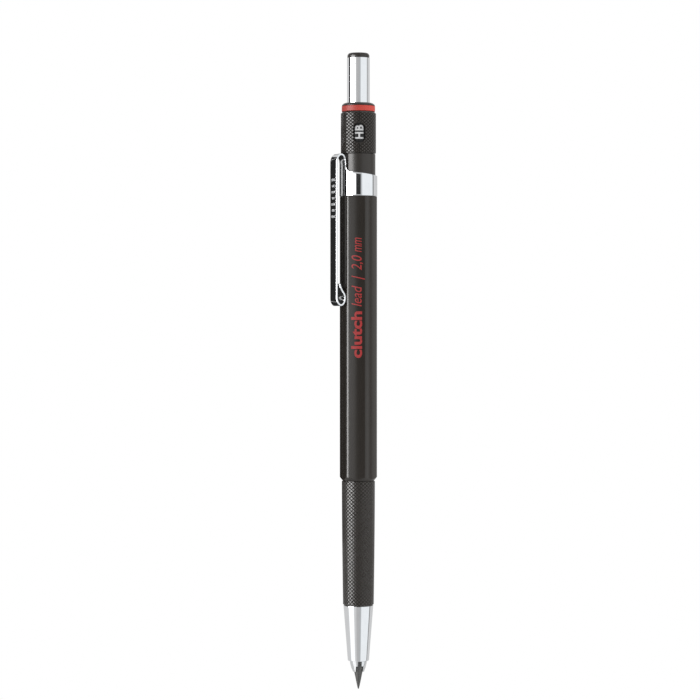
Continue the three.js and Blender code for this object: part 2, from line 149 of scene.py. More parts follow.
def smooth(mesh, sharp_over=35):
    """Smooth shading, with sharp edges where faces meet at more than that many degrees."""
    bm = bmesh.new()
    bm.from_mesh(mesh)
    limit = math.radians(sharp_over)
    for face in bm.faces:
        face.smooth = True
    for edge in bm.edges:
        edge.smooth = len(edge.link_faces) == 2 and edge.calc_face_angle(0) < limit
    bm.to_mesh(mesh)
    bm.free()


def to_object(name, bm, material, scale=MM):
    """An object from a bmesh in mm, with its faces turned outwards."""
    bmesh.ops.recalc_face_normals(bm, faces=bm.faces)
    bmesh.ops.scale(bm, vec=(scale,) * 3, verts=bm.verts)
    mesh = bpy.data.meshes.new(name)
    bm.to_mesh(mesh)
    bm.free()
    mesh.materials.append(material)
    smooth(mesh)
    piece = bpy.data.objects.new(name, mesh)
    bpy.context.scene.collection.objects.link(piece)
    return piece


def place(piece, body, slot, *nodes):
    """Puts a piece on its body and hides the CAD nodes that it stands for. The slot is not used."""
    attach(piece, body)
    if nodes:
        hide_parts(*nodes)


def applied(piece):
    """Applies a piece's modifiers."""
    seen = piece.evaluated_get(bpy.context.evaluated_depsgraph_get())
    mesh = bpy.data.meshes.new_from_object(seen)
    piece.modifiers.clear()
    piece.data = mesh
    smooth(mesh)


def cut(piece, cutter):
    """Takes the cutter's shape out of a piece, and removes the cutter."""
    modifier = piece.modifiers.new("cut", "BOOLEAN")
    modifier.operation = "DIFFERENCE"
    modifier.solver = "EXACT"
    modifier.object = cutter
    applied(piece)
    bpy.data.objects.remove(cutter)


# ---------------------------------------------------------------- materials


class Nodes:
    """A short way to write a material's node tree."""

    def __init__(self, name):
        self.material = bpy.data.materials.new(name)
        self.material.use_nodes = True
        self.tree = self.material.node_tree
        self.shader = self.tree.nodes["Principled BSDF"]
        self.coords = self.add("ShaderNodeTexCoord").outputs["Object"]

    def add(self, kind, **values):
        node = self.tree.nodes.new(kind)
        for key, value in values.items():
            if key in node.inputs:
                node.inputs[key].default_value = value
            else:
                setattr(node, key, value)
        return node

    def link(self, source, target):
        self.tree.links.new(source, target)

    def stretched(self, scale):
        """Object coordinates in mm, times scale along each axis."""
        mapping = self.add("ShaderNodeMapping")
        mapping.inputs["Scale"].default_value = [s / MM for s in scale]
        self.link(self.coords, mapping.inputs["Vector"])
        return mapping.outputs["Vector"]

    def noise(self, scale, detail=4.0, rough=0.55):
        """Noise with that many cells to a mm along each axis."""
        node = self.add("ShaderNodeTexNoise", Scale=1.0, Detail=detail, Roughness=rough)
        self.link(self.stretched(scale), node.inputs["Vector"])
        return node.outputs["Fac"]

    def ramp(self, source, stops):
        """A colour ramp of (position, colour) stops."""
        node = self.add("ShaderNodeValToRGB")
        elements = node.color_ramp.elements
        while len(elements) < len(stops):
            elements.new(0.5)
        for element, (position, colour) in zip(elements, stops):
            element.position = position
            element.color = (*colour, 1.0)
        self.link(source, node.inputs["Fac"])
        return node.outputs["Color"]

    def spread(self, source, low_value, high_value):
        """Maps noise of about 0.3 to 0.7 to a range of values."""
        node = self.add("ShaderNodeMapRange")
        node.inputs["From Min"].default_value = 0.3
        node.inputs["From Max"].default_value = 0.7
        node.inputs["To Min"].default_value = low_value
        node.inputs["To Max"].default_value = high_value
        self.link(source, node.inputs["Value"])
        return node.outputs["Result"]

    def bump(self, source, strength, height_mm):
        """Raises the surface by up to that height where the source is high."""
        node = self.add("ShaderNodeBump", Strength=strength, Distance=height_mm * MM)
        self.link(source, node.inputs["Height"])
        self.link(node.outputs["Normal"], self.shader.inputs["Normal"])


def glowing(name, level):
    """A material that gives off that grey level of light and reflects none."""
    material = bpy.data.materials.new(name)
    material.use_nodes = True
    tree = material.node_tree
    tree.nodes.clear()
    glow = tree.nodes.new("ShaderNodeEmission")
    glow.inputs["Color"].default_value = (level, level, level, 1)
    out = tree.nodes.new("ShaderNodeOutputMaterial")
    tree.links.new(glow.outputs["Emission"], out.inputs["Surface"])
    return material


def shade(colour, factor):
    """A colour made darker or lighter by a factor."""
    return tuple(min(1.0, c * factor) for c in colour)


def plastic(name, colour, roughness, grain=8.0, relief=0.004, mottle=0.07, specular=0.5):
    """Moulded plastic: slow colour drift, uneven gloss from faint lengthwise rubbing, and a fine grain. The
    grain is in cells to a mm and its relief in mm, and mottle is the drift as a share of the colour."""
    n = Nodes(name)
    n.shader.inputs["Specular IOR Level"].default_value = specular
    drift = n.noise((0.9, 0.9, 0.3), 5.0)
    n.link(
        n.ramp(drift, [(0.3, shade(colour, 1 - mottle)), (0.7, shade(colour, 1 + mottle))]),
        n.shader.inputs["Base Color"],
    )
    rub = n.noise((6.0, 6.0, 1.2), 5.0, 0.6)
    n.link(n.spread(rub, roughness * 0.92, roughness * 1.09), n.shader.inputs["Roughness"])
    n.bump(n.noise((grain,) * 3, 3.0), 0.35, relief)
    return n.material


def metal(name, colour, roughness, lines, relief=0.0015, uneven=0.4):
    """Metal with tool lines: noise stretched as lines says, in cells to a mm along each axis."""
    n = Nodes(name)
    n.shader.inputs["Metallic"].default_value = 1.0
    haze = n.noise((0.7, 0.7, 0.4), 4.0)
    n.link(
        n.ramp(haze, [(0.3, shade(colour, 0.97)), (0.7, shade(colour, 1.02))]),
        n.shader.inputs["Base Color"],
    )
    marks = n.noise(lines, 4.0, 0.6)
    n.link(
        n.spread(marks, roughness * (1 - uneven), roughness * (1 + uneven)),
        n.shader.inputs["Roughness"],
    )
    n.bump(marks, 0.3, relief)
    return n.material


def graphite():
    """Sharpened graphite: rings from the pointer, grain, and a dull metallic sheen."""
    n = Nodes("graphite")
    n.shader.inputs["Metallic"].default_value = 0.35
    n.shader.inputs["Specular IOR Level"].default_value = 0.7
    grain = n.noise((9.0, 9.0, 9.0), 6.0, 0.65)
    n.link(
        n.ramp(grain, [(0.25, (0.05, 0.049, 0.046)), (0.75, (0.15, 0.147, 0.14))]),
        n.shader.inputs["Base Color"],
    )
    rings = n.noise((1.5, 1.5, 14.0), 5.0, 0.7)
    n.link(n.spread(rings, 0.3, 0.5), n.shader.inputs["Roughness"])
    n.bump(rings, 0.5, 0.012)
    return n.material


def ink(name, colour):
    """Pad-printed ink, slightly uneven in cover and gloss."""
    n = Nodes(name)
    cover = n.noise((4.0, 4.0, 4.0), 4.0)
    n.link(
        n.ramp(cover, [(0.3, shade(colour, 0.86)), (0.7, shade(colour, 1.08))]),
        n.shader.inputs["Base Color"],
    )
    n.link(n.spread(cover, 0.36, 0.5), n.shader.inputs["Roughness"])
    n.bump(cover, 0.2, 0.004)
    return n.material


BLACK = (0.031, 0.0255, 0.021)
barrel_plastic = plastic("barrel_plastic", BLACK, 0.19)
neck_plastic = plastic("neck_plastic", BLACK, 0.32)
KNURL_FINISH = {"grain": 12.0, "relief": 0.001}
knurl_plastic = plastic("knurl_plastic", (0.046, 0.040, 0.035), 0.2, **KNURL_FINISH)
grip_plastic = plastic("grip_plastic", (0.054, 0.047, 0.041), 0.28, specular=0.68, **KNURL_FINISH)
scale_plastic = plastic("scale_plastic", (0.006, 0.006, 0.006), 0.35)
plug_plastic = plastic("plug_plastic", BLACK, 0.26)
dark_plastic = plastic("dark_plastic", (0.03, 0.03, 0.03), 0.42)
grey_plastic = plastic("grey_plastic", (0.09, 0.09, 0.09), 0.45)
red_plastic = plastic(
    "red_plastic", (0.66, 0.075, 0.055), 0.45, relief=0.001, mottle=0.05, specular=0.28
)
chrome = metal("chrome", (0.93, 0.94, 0.955), 0.045, (3.0, 3.0, 0.3), relief=0.0004)
etched = metal("etched_chrome", (0.9, 0.91, 0.92), 0.42, (9.0, 9.0, 9.0), relief=0.003)
steel = metal("steel", (0.86, 0.87, 0.88), 0.13, (1.2, 1.2, 12.0))
spring_wire = metal("spring_wire", (0.6, 0.61, 0.63), 0.22, (6.0, 6.0, 6.0))
brass = metal("brass", (0.72, 0.53, 0.24), 0.22, (1.0, 1.0, 14.0))
blade_steel = metal("blade_steel", (0.8, 0.81, 0.82), 0.2, (12.0, 0.6, 0.6))
graphite_lead = graphite()
red_ink = ink("red_ink", (0.50, 0.022, 0.022))
white_ink = ink("white_ink", (0.96, 0.96, 0.95))


# ---------------------------------------------------------------- the tip


def make_lead():
    """The lead, ground to a slightly uneven, blunt point."""
    sides = 64
    top = high("lead").z
    r = 1.0
    profile = [
        (0.0, 0.0),
        (0.07, 0.01),
        (0.125, 0.06),
        (0.155, 0.16),
        (0.26, 0.62),
        (0.42, 1.35),
        (0.58, 2.15),
        (0.77, 3.05),
        (0.925, 3.85),
        (0.975, 4.3),
        (r, 4.75),
        (r, 5.0),
        (r, 40.0),
        (r, top - 0.2),
        (r - 0.12, top - 0.04),
        (r - 0.2, top),
        (0.0, top),
    ]
    rings = []
    for radius_here, z in profile:
        if radius_here == 0:
            rings.append([Vector((0, 0, z))])
            continue
        ground = max(0.0, 1 - abs(z - 2.0) / 2.6)
        ring = []
        for i in range(sides):
            a = TURN * i / sides
            flat = 0.018 * math.sin(5 * a + 1.9 * z) + 0.01 * math.sin(11 * a - 2.3 * z)
            ring.append(around(a, radius_here * (1 + ground * flat), z))
        rings.append(ring)
    piece = to_object("lead_core", loft(rings, closed=False), graphite_lead)
    place(piece, "lead", "graphite_lead", "lead")


def make_jaw(index):
    """One jaw of the collet: its mouth opens out in a step, and its head tapers to a thin leg."""
    node = f"collet_jaw_{index + 1}"
    mouth, root = low(node).z, high(node).z
    bore, slot, mouth_slot, step = 1.05, 0.83, 1.66, 5.2
    outline = [
        (mouth, 1.29),
        (mouth + 0.4, 1.42),
        (mouth + 0.8, 1.58),
        (step, 1.71),
        (step + 0.001, 1.712),
        (5.7, 1.83),
        (6.15, 1.89),
        (6.5, 1.925),
        (6.75, 1.91),
        (7.4, 1.8),
        (8.3, 1.58),
        (8.7, 1.51),
        (9.2, 1.5),
        (root, 1.5),
    ]
    middle = math.radians(SLOT_AT) + TURN / 6 * (2 * index + 1)
    across = 18
    rings = []
    for z, outer in outline:
        half_slot = (mouth_slot if z < step + 0.0005 else slot) / 2
        outer_reach = math.pi / 3 - math.asin(half_slot / outer)
        inner_reach = math.pi / 3 - math.asin(half_slot / bore)
        shares = [2 * i / across - 1 for i in range(across + 1)]
        ring = [around(middle + outer_reach * t, outer, z) for t in shares]
        ring += [around(middle - inner_reach * t, bore, z) for t in shares]
        rings.append(ring)
    bm = loft(rings, closed=False)
    bm.verts.ensure_lookup_table()
    count = len(rings[0])
    for first in (0, len(bm.verts) - count):
        outer_side = [bm.verts[first + i] for i in range(across + 1)]
        inner_side = [bm.verts[first + count - 1 - i] for i in range(across + 1)]
        for i in range(across):
            bm.faces.new([outer_side[i], outer_side[i + 1], inner_side[i + 1], inner_side[i]])
    piece = to_object(f"jaw_{index + 1}", bm, steel)
    ease = piece.modifiers.new("ease", "BEVEL")
    ease.width = 0.03 * MM
    ease.segments = 2
    ease.limit_method = "ANGLE"
    ease.angle_limit = math.radians(50)
    applied(piece)
    place(piece, f"jaw_{index + 1}", "jaw_steel", node)


def make_nose():
    """The nose cone, with a bevelled mouth, a guide bore and the spigot that screws into the bush."""
    z = low("nose_cone").z
    shoulder = low("grip").z - 0.05
    top = high("nose_cone").z
    outline = [
        (2.05, z + 0.1, 0.03),
        (2.13, z, 0.03),
        (2.27, z, 0.06),
        (2.36, z + 0.16, 0.08),
        (3.32, shoulder, 0.07),
        (2.4, shoulder, 0.04),
        (2.4, top, 0.12),
        (1.87, top, 0.05),
        (1.87, 12.2, 0.05),
        (2.05, 11.4, 0.05),
    ]
    piece = to_object("nose", turned(outline, sides=128), chrome)
    place(piece, "body", "chrome", "nose_cone")


# ---------------------------------------------------------------- knurled pieces


# The width of a diamond's flat tip as a share of the diamond
TIP_SHARE = 0.62


def knurled(radius_at, bottom, top, columns, rows, depth, below, above):
    """A closed ring whose outside is a diamond knurl between two heights. radius_at(z) is over the diamonds'
    tips, and below and above are (r, z) rings that lead from each end of the knurl to the bore, where they
    meet."""
    flat = TIP_SHARE
    bm = bmesh.new()
    half_pitch = (top - bottom) / rows / 2
    verts = {}

    def vertex(column, row, lift):
        column %= 2 * columns
        key = (round(column * 100), round(row * 100))
        if key not in verts:
            z = bottom + row * half_pitch
            angle = math.pi * column / columns
            verts[key] = bm.verts.new(around(angle, radius_at(z) - (0 if lift else depth), z))
        return verts[key]

    for row in range(2 * rows + 1):
        for column in range((row + 1) % 2, 2 * columns, 2):
            for way in (1, -1):
                if not 0 <= row + way <= 2 * rows:
                    continue
                left, right = vertex(column - 1, row, False), vertex(column + 1, row, False)
                end = vertex(column, row + way, False)
                tip_left, tip_right = vertex(column - flat, row, True), vertex(column + flat, row, True)
                tip_end = vertex(column, row + way * flat, True)
                bm.faces.new([tip_left, tip_right, tip_end])
                bm.faces.new([left, tip_left, tip_end, end])
                bm.faces.new([tip_right, right, end, tip_end])

    def skirt(row, rings):
        """Leads the knurl's edge at that row through the rings, and gives the last one."""
        edge = sorted((v for key, v in verts.items() if key[1] == row * 100), key=angle_of)
        for r, z in rings:
            fresh = [bm.verts.new(around(angle_of(v), r, z)) for v in edge]
            for i in range(len(edge)):
                j = (i + 1) % len(edge)
                bm.faces.new([edge[i], edge[j], fresh[j], fresh[i]])
            edge = fresh
        return edge

    low_edge = skirt(0, below)
    high_edge = skirt(2 * rows, above)
    for i in range(len(low_edge)):
        j = (i + 1) % len(low_edge)
        bm.faces.new([low_edge[i], low_edge[j], high_edge[j], high_edge[i]])
    return bm


def angle_of(vert):
    """A vertex's angle about Z, from 0 to a full turn."""
    return round(math.atan2(vert.co.y, vert.co.x) % TURN, 6) % TURN


def make_grip():
    """The grip, a slow taper with a fine diamond knurl between plain bevelled ends."""
    bottom = low("grip").z
    top = low("barrel").z - 0.05
    spigot = high("grip").z
    columns, rows, depth = 26, 34, 0.17
    first, last = bottom + 0.2, top - 0.06

    def over_tips(z):
        t = (z - bottom) / (top - bottom)
        return 3.42 + 0.47 * t - 0.2 * t * t

    low_r, high_r = over_tips(first) - depth, over_tips(last) - depth
    below = [
        (low_r - 0.02, first - 0.03),
        (low_r - 0.03, bottom + 0.03),
        (low_r - 0.07, bottom),
        (2.9, bottom),
        (2.9, 40.0),
    ]
    above = [
        (high_r - 0.02, last + 0.03),
        (high_r - 0.02, top),
        (3.1, top),
        (3.1, spigot - 0.2),
        (2.98, spigot),
        (2.65, spigot),
        (2.65, top - 1),
        (2.9, top - 1.5),
    ]
    bm = knurled(over_tips, first, last, columns, rows, depth, below, above)
    place(to_object("knurled_grip", bm, grip_plastic), "body", "grip_plastic", "grip")


def stadium_cutter(width, height, centre_z, inner_r, outer_r, at):
    """A rounded slot's prism that points outwards at that angle."""
    steps = 24
    r = width / 2
    rise = height / 2 - r
    outline = []
    for i in range(2 * steps):
        a = TURN * (i + 0.5) / (2 * steps)
        shift = rise if math.sin(a) > 0 else -rise
        outline.append((r * math.cos(a), r * math.sin(a) + shift))
    angle = math.radians(at)
    out = Vector((math.cos(angle), math.sin(angle), 0))
    side = Vector((-math.sin(angle), math.cos(angle), 0))
    rings = [
        [out * reach + side * x + Vector((0, 0, centre_z + y)) for x, y in outline]
        for reach in (inner_r, outer_r)
    ]
    bm = loft(rings, closed=False)
    for ring in (list(bm.verts)[: 2 * steps], list(bm.verts)[2 * steps :]):
        bm.faces.new(ring)
    return to_object("cutter", bm, scale_plastic)


def make_grade_sleeve():
    """The knurled sleeve that turns, with its oval window, the window's plain sunk rim, and the moulding line
    that runs through the window."""
    bottom, top = low("grade_sleeve").z, high("grade_sleeve").z
    r = radius("grade_sleeve") + 0.06
    columns, rows, depth = 27, 12, 0.15
    first, last = bottom + 0.1, top - 0.38
    below = [
        (r - depth - 0.02, first - 0.03),
        (r - depth - 0.02, bottom + 0.03),
        (r - depth - 0.05, bottom),
        (3.3, bottom),
    ]
    above = [
        (r - depth - 0.02, last + 0.03),
        (r - depth - 0.05, last + 0.18),
        (3.58, top - 0.02),
        (3.55, top),
        (3.3, top),
    ]
    bm = knurled(lambda z: r, first, last, columns, rows, depth, below, above)
    piece = to_object("knurled_sleeve", bm, knurl_plastic)
    inside, outside = 2, 6
    cut(piece, stadium_cutter(3.1, 4.85, WINDOW_Z, r - depth - 0.03, outside, WINDOW_AT))
    cut(piece, stadium_cutter(2.7, 4.4, WINDOW_Z, inside, outside, WINDOW_AT))
    line_width, line_floor = 0.24, r - depth - 0.14
    rim = 2.35
    for end, side in ((top + 0.5, WINDOW_Z + rim), (bottom - 0.5, WINDOW_Z - rim)):
        length, middle = abs(end - side), (end + side) / 2
        cut(piece, stadium_cutter(line_width, length, middle, line_floor, outside, WINDOW_AT))
    place(piece, "sleeve", "sleeve_plastic", "grade_sleeve")


# ---------------------------------------------------------------- barrel and collars

# Half the width across the crowned facets, the half angle that each crown spans, and its radius, in mm
APOTHEM = high("barrel").x + 0.08
CROWN = math.radians(8.0)
CROWN_R = 12.66


def hexagon_corner():
    """The corner rounding's (centre distance, radius) that runs on smoothly from two crowned facets."""
    touch = Vector((APOTHEM - CROWN_R, 0)) + CROWN_R * Vector((math.cos(CROWN), math.sin(CROWN)))
    across = Vector((-math.sin(math.pi / 6), math.cos(math.pi / 6)))
    along = Vector((math.cos(math.pi / 6), math.sin(math.pi / 6)))
    out = Vector((math.cos(CROWN), math.sin(CROWN)))
    r = touch.dot(across) / out.dot(across)
    return (touch - r * out).dot(along), r


def hexagon(facet_steps=8, corner_steps=10):
    """(angle, radius) all round the barrel: crowned facets facing 0, 60, 120 degrees, and rounded corners."""
    centre, r = hexagon_corner()
    outline = []
    for k in range(6):
        facing = TURN * k / 6
        for i in range(facet_steps):
            a = -CROWN + 2 * CROWN * i / facet_steps
            outline.append((facing, APOTHEM - CROWN_R, CROWN_R, facing + a))
        corner = facing + TURN / 12
        for i in range(corner_steps):
            a = facing + CROWN + (TURN / 6 - 2 * CROWN) * i / corner_steps
            outline.append((corner, centre, r, a))
    points = []
    for base, distance, r_here, a in outline:
        p = around(base, distance, 0) + around(a, r_here, 0)
        points.append((math.atan2(p.y, p.x), p.length))
    return points


def facet_lift(across):
    """How far the crowned facet's surface lies from the axis plane at that distance across it."""
    return APOTHEM - CROWN_R + math.sqrt(CROWN_R**2 - across**2)


def make_barrel():
    """The six-sided barrel: its corners are cut by a cone at the lower end, and eased at the upper."""
    bottom, top = low("barrel").z, high("barrel").z
    outline = hexagon()
    rows = [(bottom + 0.06 * i, 3.5 + 0.046 * i) for i in range(16)]
    length, uncut = top - bottom, 9.0
    rows += [(bottom + length * t, uncut) for t in (0.02, 0.1, 0.3, 0.5, 0.7, 0.9, 0.98)]
    rows += [(top - 0.2, uncut), (top - 0.1, 4.13), (top - 0.03, 4.08), (top, 4.0)]
    soft = 0.03

    def cut_by(r, cone):
        """The lesser of two radii, eased where they meet."""
        gap = max(soft - abs(r - cone), 0) / soft
        return min(r, cone) - gap * gap * soft / 4

    rings = [[around(a, cut_by(r, cone), z) for a, r in outline] for z, cone in rows]
    for r, z in ((2.9, top), (2.9, 54.5), (3.15, 54.5), (3.15, bottom)):
        rings.append([around(a, r, z) for a, _ in outline])
    piece = to_object("hex_barrel", loft(rings), barrel_plastic)
    place(piece, "body", "barrel_plastic", "barrel")


def make_neck():
    """The smooth neck under the clip's band, with a flat for the clip's tab."""
    bottom, top = low("clip_band").z, high("neck_collar").z
    foot = low("neck_collar").z
    outline = [
        (1.85, foot, 0.1),
        (2.85, foot, 0.15),
        (2.85, bottom, 0),
        (3.78, bottom, 0.05),
        (3.78, top, 0.09),
        (2.75, top, 0.04),
        (2.75, 110.5, 0),
        (1.85, 110.5, 0),
    ]
    piece = to_object("neck", turned(outline, sides=128), neck_plastic)
    slab = bmesh.new()
    bmesh.ops.create_cube(slab, size=1.0)
    bmesh.ops.scale(slab, vec=(2, 9, 14), verts=slab.verts)
    bmesh.ops.translate(slab, vec=(-4.3, 0, bottom + 7), verts=slab.verts)
    cut(piece, to_object("cutter", slab, barrel_plastic))
    place(piece, "body", "barrel_plastic", "neck_collar")


def make_scale():
    """The fixed sleeve that carries the printed grades."""
    foot, seat = low("scale_sleeve").z, low("grade_sleeve").z - 0.05
    shoulder, tip = low("red_ring").z - 0.05, high("scale_sleeve").z
    outline = [
        (1.95, foot, 0.08),
        (2.7, foot, 0.12),
        (2.7, seat, 0),
        (SCALE_R, seat, 0.04),
        (SCALE_R, shoulder, 0.04),
        (3.0, shoulder, 0),
        (3.0, tip, 0.06),
        (2.65, tip, 0.06),
        (2.65, 122.0, 0),
        (1.95, 122.0, 0),
    ]
    piece = to_object("grade_scale", turned(outline), scale_plastic)
    place(piece, "body", "scale_plastic", "scale_sleeve")


def make_ring():
    """The red ring, slightly proud in the middle."""
    z, top, r = low("red_ring").z, high("red_ring").z, radius("red_ring")
    outline = [
        (3.05, z, 0.03),
        (r, z, 0.07),
        (r + 0.015, (z + top) / 2, 0.2),
        (r, top, 0.07),
        (3.05, top, 0.03),
    ]
    piece = to_object("ring", turned(outline, sides=128), red_plastic)
    place(piece, "body", "red_plastic", "red_ring")


def make_end_collar():
    """The thin domed collar that the button comes out of."""
    z, top, r = low("end_collar").z, high("end_collar").z, radius("end_collar")
    outline = [
        (3.05, z, 0.02),
        (r, z, 0.05),
        (r - 0.03, z + 0.2, 0.1),
        (3.3, top - 0.14, 0.2),
        (2.9, top, 0.12),
        (2.6, top, 0.05),
        (2.6, z + 0.25, 0.02),
        (3.05, z + 0.25, 0.02),
    ]
    piece = to_object("collar", turned(outline, sides=128), plug_plastic)
    place(piece, "body", "plug_plastic", "end_collar")


# ---------------------------------------------------------------- pocket clip

# The clip in mm: its sheet, the middle of the sheet on the flat, round the band and down the strip, and half
# the strip's width. u is the distance from the pencil's axis, and the path's fold starts at that index.
SHEET = 0.38
FLAT_U = 3.76
BAND_MID_R = 4.01
STRIP_U = 5.91
CLIP_HALF = 1.68
FOLD_START = 33


def clip_path():
    """(u, z) along the middle of the clip's sheet, from the tab's foot over the arch, down the strip and
    round the folded end."""
    foot, top = high("clip_band").z, high("clip_arm").z - SHEET / 2
    bottom = low("clip_arm").z + SHEET / 2
    arch_z, fold_z, end_z = foot, 87.2, 90.3
    path = [(FLAT_U, foot - 0.35), (FLAT_U, foot)]
    arch_u, arch_half = (FLAT_U + STRIP_U) / 2, (STRIP_U - FLAT_U) / 2
    for i in range(1, 25):
        a = math.pi * i / 24
        path.append((arch_u - arch_half * math.cos(a), arch_z + (top - arch_z) * math.sin(a)))
    path += [(STRIP_U, arch_z + (fold_z - arch_z) * t) for t in (0.02, 0.1, 0.3, 0.5, 0.7, 0.9, 0.98, 1)]
    fold_u = 4.03
    turn_u, turn_half = (STRIP_U + fold_u) / 2, (STRIP_U - fold_u) / 2
    for i in range(1, 21):
        a = math.pi * i / 20
        path.append((turn_u + turn_half * math.cos(a), fold_z - (fold_z - bottom) * math.sin(a)))
    corners = [Vector(p) for p in ((fold_u, fold_z), (fold_u - 0.02, 88.4), (5.1, 88.6), (5.2, end_z))]
    for i in range(1, 15):
        t = i / 14
        weights = ((1 - t) ** 3, 3 * t * (1 - t) ** 2, 3 * t**2 * (1 - t), t**3)
        p = sum((w * c for w, c in zip(weights, corners)), Vector((0, 0)))
        path.append((p.x, p.y))
    return path


def make_clip():
    """The pocket clip, one bent sheet: a band with a flat on the clip's side, whose sloping rim sweeps up
    into a tab, then an arch, a straight strip and a teardrop fold."""
    bottom = low("clip_band").z
    corner = math.acos(FLAT_U / BAND_MID_R)
    tab_edge = corner + math.radians(4.2)
    half = BAND_MID_R * math.sin(corner)
    sweep_r = 1.25
    on_flat = [Vector((-FLAT_U, half * t)) for t in (-1, -0.96, -0.8, -0.5, -0.2, 0.2, 0.5, 0.8, 0.96, 1)]
    wrap = [corner + (tab_edge - corner) * t for t in (0.3, 0.65, 1.0)]
    steps = [0.012, 0.03, 0.055, 0.085, 0.12, 0.16, 0.21, 0.27, 0.34]
    beyond = [tab_edge + t for t in steps]
    beyond += [0.34 + tab_edge + (math.pi - tab_edge - 0.34) * i / 28 for i in range(1, 29)]
    near = [Vector((-math.cos(a), math.sin(a))) * BAND_MID_R for a in wrap + beyond]
    far = [Vector((p.x, -p.y)) for p in reversed(near[:-1])]
    columns = on_flat + near + far
    tab_columns = far[-len(wrap):] + on_flat + near[: len(wrap)]

    def away(p):
        """The distance round the band from the tab's edge."""
        return BAND_MID_R * max(0.0, math.atan2(abs(p.y), -p.x) - tab_edge)

    def rim(p):
        """The height of the band's upper edge."""
        slope = 114.7 - 0.5 * p.x / BAND_MID_R
        left = max(0.0, sweep_r - away(p))
        return slope + sweep_r - math.sqrt(sweep_r**2 - left**2)

    bm = bmesh.new()
    rows = 14
    grid = []
    for k in range(rows + 1):
        t = k / rows
        grid.append([bm.verts.new((p.x, p.y, bottom + (rim(p) - bottom) * t)) for p in columns])
    for a, b in zip(grid, grid[1:]):
        for i in range(len(columns)):
            j = (i + 1) % len(columns)
            bm.faces.new([a[i], a[j], b[j], b[i]])
    first = len(columns) - len(wrap)
    edge_row = [grid[-1][(first + i) % len(columns)] for i in range(len(tab_columns))]
    path = [Vector(p) for p in clip_path()]
    wide = max(p.y for p in tab_columns)
    for index, point in enumerate(path):
        ahead = path[min(index + 1, len(path) - 1)] - path[max(index - 1, 0)]
        out = Vector((ahead.y, -ahead.x)).normalized()
        share = min(1.0, index / 16)
        ease = share * share * (3 - 2 * share)
        flare = 0.12 * min(1.0, max(0.0, index - FOLD_START) / 8)
        tip = max(0.0, (index - len(path) + 5) / 5)
        narrow = (1 + (CLIP_HALF / wide - 1) * ease) * (1 + flare - 0.2 * tip**2)
        fresh = []
        for p in tab_columns:
            back = (FLAT_U + p.x) * (1 - ease)
            at = point - out * back
            fresh.append(bm.verts.new((-at.x, p.y * narrow, at.y)))
        for i in range(len(fresh) - 1):
            bm.faces.new([edge_row[i], edge_row[i + 1], fresh[i + 1], fresh[i]])
        edge_row = fresh
    piece = to_object("pocket_clip", bm, chrome)
    thick = piece.modifiers.new("thick", "SOLIDIFY")
    thick.thickness = SHEET * MM
    thick.offset = 0.0
    thick.use_even_offset = True
    ease = piece.modifiers.new("ease", "BEVEL")
    ease.width = 0.07 * MM
    ease.segments = 3
    ease.limit_method = "ANGLE"
    ease.angle_limit = math.radians(50)
    applied(piece)
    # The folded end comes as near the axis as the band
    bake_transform(piece)
    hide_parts("clip_band", "clip_arm")


def make_clip_marks():
    """A row of short etched bars near the top of the clip's strip."""
    bm = bmesh.new()
    face = -(STRIP_U + SHEET / 2)
    for i in range(7):
        z = 105.2 + 1.35 * i
        half_width = (0.95, 0.6)[i % 2]
        bar = bmesh.ops.create_cube(bm, size=1.0)["verts"]
        bmesh.ops.scale(bm, vec=(0.06, 2 * half_width, 0.5), verts=bar)
        bmesh.ops.translate(bm, vec=(face - 0.02, 0, z), verts=bar)
    bmesh.ops.bevel(bm, geom=bm.edges[:], offset=0.02, segments=2, affect="EDGES")
    place(to_object("clip_marks", bm, etched), "clip", "chrome")


# ---------------------------------------------------------------- push button


def make_button():
    """The push button: a plain tube with a rounded plug in its end."""
    z, top, r = low("button_sleeve").z, high("button_sleeve").z, radius("button_sleeve")
    outline = [(2.25, z, 0.06), (r, z, 0.08), (r, top, 0.05), (2.25, top, 0.04)]
    piece = to_object("button_tube", turned(outline, sides=128), chrome)
    place(piece, "button", "chrome", "button_sleeve")
    z, top, r = low("button_plug").z, high("button_plug").z, radius("button_plug")
    seat = high("button_sleeve").z + 0.03
    outline = [
        (0, z, 0),
        (2.2, z, 0.15),
        (2.2, seat, 0),
        (r, seat, 0.05),
        (r, top - 0.45, 0.25),
        (r - 0.34, top - 0.03, 0.3),
        (0.9, top, 0.3),
        (0, top, 0),
    ]
    piece = to_object("button_end", turned(outline, sides=96, steps=5), plug_plastic)
    place(piece, "button", "plug_plastic", "button_plug")


